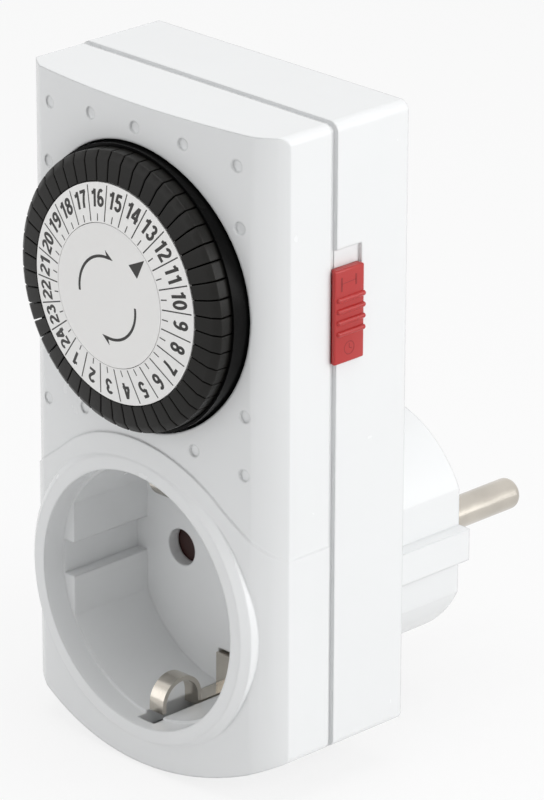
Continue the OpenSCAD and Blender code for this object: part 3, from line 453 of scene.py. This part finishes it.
def slide_cap():
    """The slide switch: the inner part of its CAD node, with a rounded cap and ribs."""
    obj = link("slide_switch_skin", nodes["slide_switch"].data.copy())
    bm = bmesh.new()
    bm.from_mesh(obj.data)
    bmesh.ops.bisect_plane(bm, geom=bm.verts[:] + bm.edges[:] + bm.faces[:], clear_outer=True,
                           plane_co=Vector((CUT_X, 0, 0)) * MM, plane_no=Vector((1, 0, 0)))
    box_into(bm, (STEM_X, CAP_X[0] + 0.2), STEM_Y, CAP_Z, STEM_EDGE)
    box_into(bm, CAP_X, CAP_Y, CAP_Z, CAP_EDGE)
    for k in range(RIB_COUNT):
        rib_into(bm, RIB_X, RIB_Z + k * RIB_PITCH, RIB_Y, RIB_R)
    bm.to_mesh(obj.data)
    bm.free()
    smooth(obj)
    stands_for(obj, "slide_switch", "slide_switch")


# Strokes and their widths in mm, from the top left and from the bottom left corner of the cap
TOP_STROKES = [([(1.2, -3.2), (1.2, -1.15)], 0.34), ([(4.0, -2.75), (4.0, -1.15)], 0.3),
               ([(1.2, -2.1), (4.0, -1.95)], 0.1)]
CLOCK = (2.75, 2.1)
CLOCK_R = 0.95
CLOCK_STROKES = [((*CLOCK, CLOCK_R, CLOCK_R, 0, 360), 0.13), ([CLOCK, (2.75, 2.75)], 0.14),
                 ([CLOCK, (3.3, 1.9)], 0.14)]


def cap_marks():
    """The strokes and the clock that are moulded into the slide switch's cap, drawn a hair proud in a
    darker red: painted shade that stands for their relief.
    """
    loops = []
    for corner_z, strokes in ((CAP_Z[1], TOP_STROKES), (CAP_Z[0], CLOCK_STROKES)):
        for stroke, width in strokes:
            for quad in ribbon(stroke_points(stroke, 28), width):
                loops.append([(CAP_X[1] + PRINT_LIFT, CAP_Y[0] + 0.1 + q.x, corner_z + q.y) for q in quad])
    thin_faces("slide_marks", loops, (-1, 0, 0), mats["relief_shade_red"], "slide_switch")


slide_cap()
cap_marks()

# ---- camera, fitted to the photo ----
AZ, EL, ROLL = math.radians(45.598), math.radians(21.849), math.radians(0.204)
FOCAL_PX, HEIGHT_PX = 5303.8, 800.0
SENSOR = 24.0
CAM_PLACE = (508.39, -519.88, 308.71)

cam_data = bpy.data.cameras.new("camera")
cam = link("camera", cam_data)
ahead = Vector((-math.sin(AZ) * math.cos(EL), math.cos(AZ) * math.cos(EL), -math.sin(EL)))
level = Vector((math.cos(AZ), math.sin(AZ), 0))
upward = level.cross(ahead)
across = math.cos(ROLL) * level + math.sin(ROLL) * upward
top = -math.sin(ROLL) * level + math.cos(ROLL) * upward
pose = Matrix((across, top, -ahead)).transposed().to_4x4()
pose.translation = Vector(CAM_PLACE) * MM
cam.matrix_world = pose
cam_data.sensor_fit = "VERTICAL"
cam_data.sensor_height = SENSOR
cam_data.lens = SENSOR * FOCAL_PX / HEIGHT_PX
cam_data.clip_start = 0.01
cam_data.clip_end = 20.0
bpy.context.scene.camera = cam

# ---- floor, world and lamps ----
FLOOR_Z = -0.0258
FLOOR_HALF = 3.0
FLOOR_COLOR = (0.82, 0.82, 0.82, 1)
FLOOR_WHITE = 0.8
WORLD_LIGHT = 0.42
PURE_WHITE = (1, 1, 1, 1)

bm = bmesh.new()
bmesh.ops.create_grid(bm, x_segments=2, y_segments=2, size=FLOOR_HALF)
floor = link("floor", mesh_of(bm, "floor"))
floor.location = (0, 0, FLOOR_Z)


def math_node(ns, ln, operation, a, b):
    """The output of a math node; b is a socket or a number."""
    node = ns.new("ShaderNodeMath")
    node.operation = operation
    ln.new(a, node.inputs[0])
    if isinstance(b, float):
        node.inputs[1].default_value = b
    else:
        ln.new(b, node.inputs[1])
    return node.outputs[0]


def white_to_camera(ns, ln, share, plain, white, output):
    """Mixes in a share of white where a ray comes from the camera or from a glossy or clear surface."""
    rays = ns.new("ShaderNodeLightPath").outputs
    seen = math_node(ns, ln, "MAXIMUM", rays["Is Camera Ray"], rays["Is Glossy Ray"])
    seen = math_node(ns, ln, "MAXIMUM", seen, rays["Is Transmission Ray"])
    mix = ns.new("ShaderNodeMixShader")
    ln.new(math_node(ns, ln, "MULTIPLY", seen, share), mix.inputs[0])
    ln.new(plain.outputs[0], mix.inputs[1])
    ln.new(white.outputs[0], mix.inputs[2])
    ln.new(mix.outputs[0], ns[output].inputs["Surface"])


paper, ns, ln, bsdf = new_material("floor_paper")
bsdf.inputs["Base Color"].default_value = FLOOR_COLOR
bsdf.inputs["Roughness"].default_value = 0.9
glow = ns.new("ShaderNodeEmission")
glow.inputs["Color"].default_value = PURE_WHITE
glow.inputs["Strength"].default_value = 1.0
white_to_camera(ns, ln, FLOOR_WHITE, bsdf, glow, "Material Output")
floor.data.materials.append(paper)

world = bpy.data.worlds.new("studio")
bpy.context.scene.world = world
world.use_nodes = True
ns, ln = world.node_tree.nodes, world.node_tree.links
soft_light = ns["Background"]
soft_light.inputs["Color"].default_value = PURE_WHITE
soft_light.inputs["Strength"].default_value = WORLD_LIGHT
backdrop = ns.new("ShaderNodeBackground")
backdrop.inputs["Color"].default_value = PURE_WHITE
backdrop.inputs["Strength"].default_value = 1.0
white_to_camera(ns, ln, 1.0, soft_light, backdrop, "World Output")


def lamp(name, place, size, watts):
    """A soft box that points at the object."""
    light = bpy.data.lights.new(name, "AREA")
    light.shape = "RECTANGLE"
    light.size, light.size_y = size
    light.energy = watts
    obj = link(name, light)
    obj.location = place
    obj.rotation_euler = (Vector(CENTRE) - Vector(place)).to_track_quat("-Z", "Y").to_euler()


CENTRE = (0, -0.03, 0.025)
lamp("right_box", (0.75, 0.22, 0.2), (0.7, 0.9), 5.2)
lamp("top_box", (0.0, -0.05, 0.9), (0.8, 0.8), 3.9)
lamp("front_box", (-0.35, -0.8, 0.25), (0.7, 0.7), 1.45)
bpy.context.scene.view_settings.view_transform = "Standard"
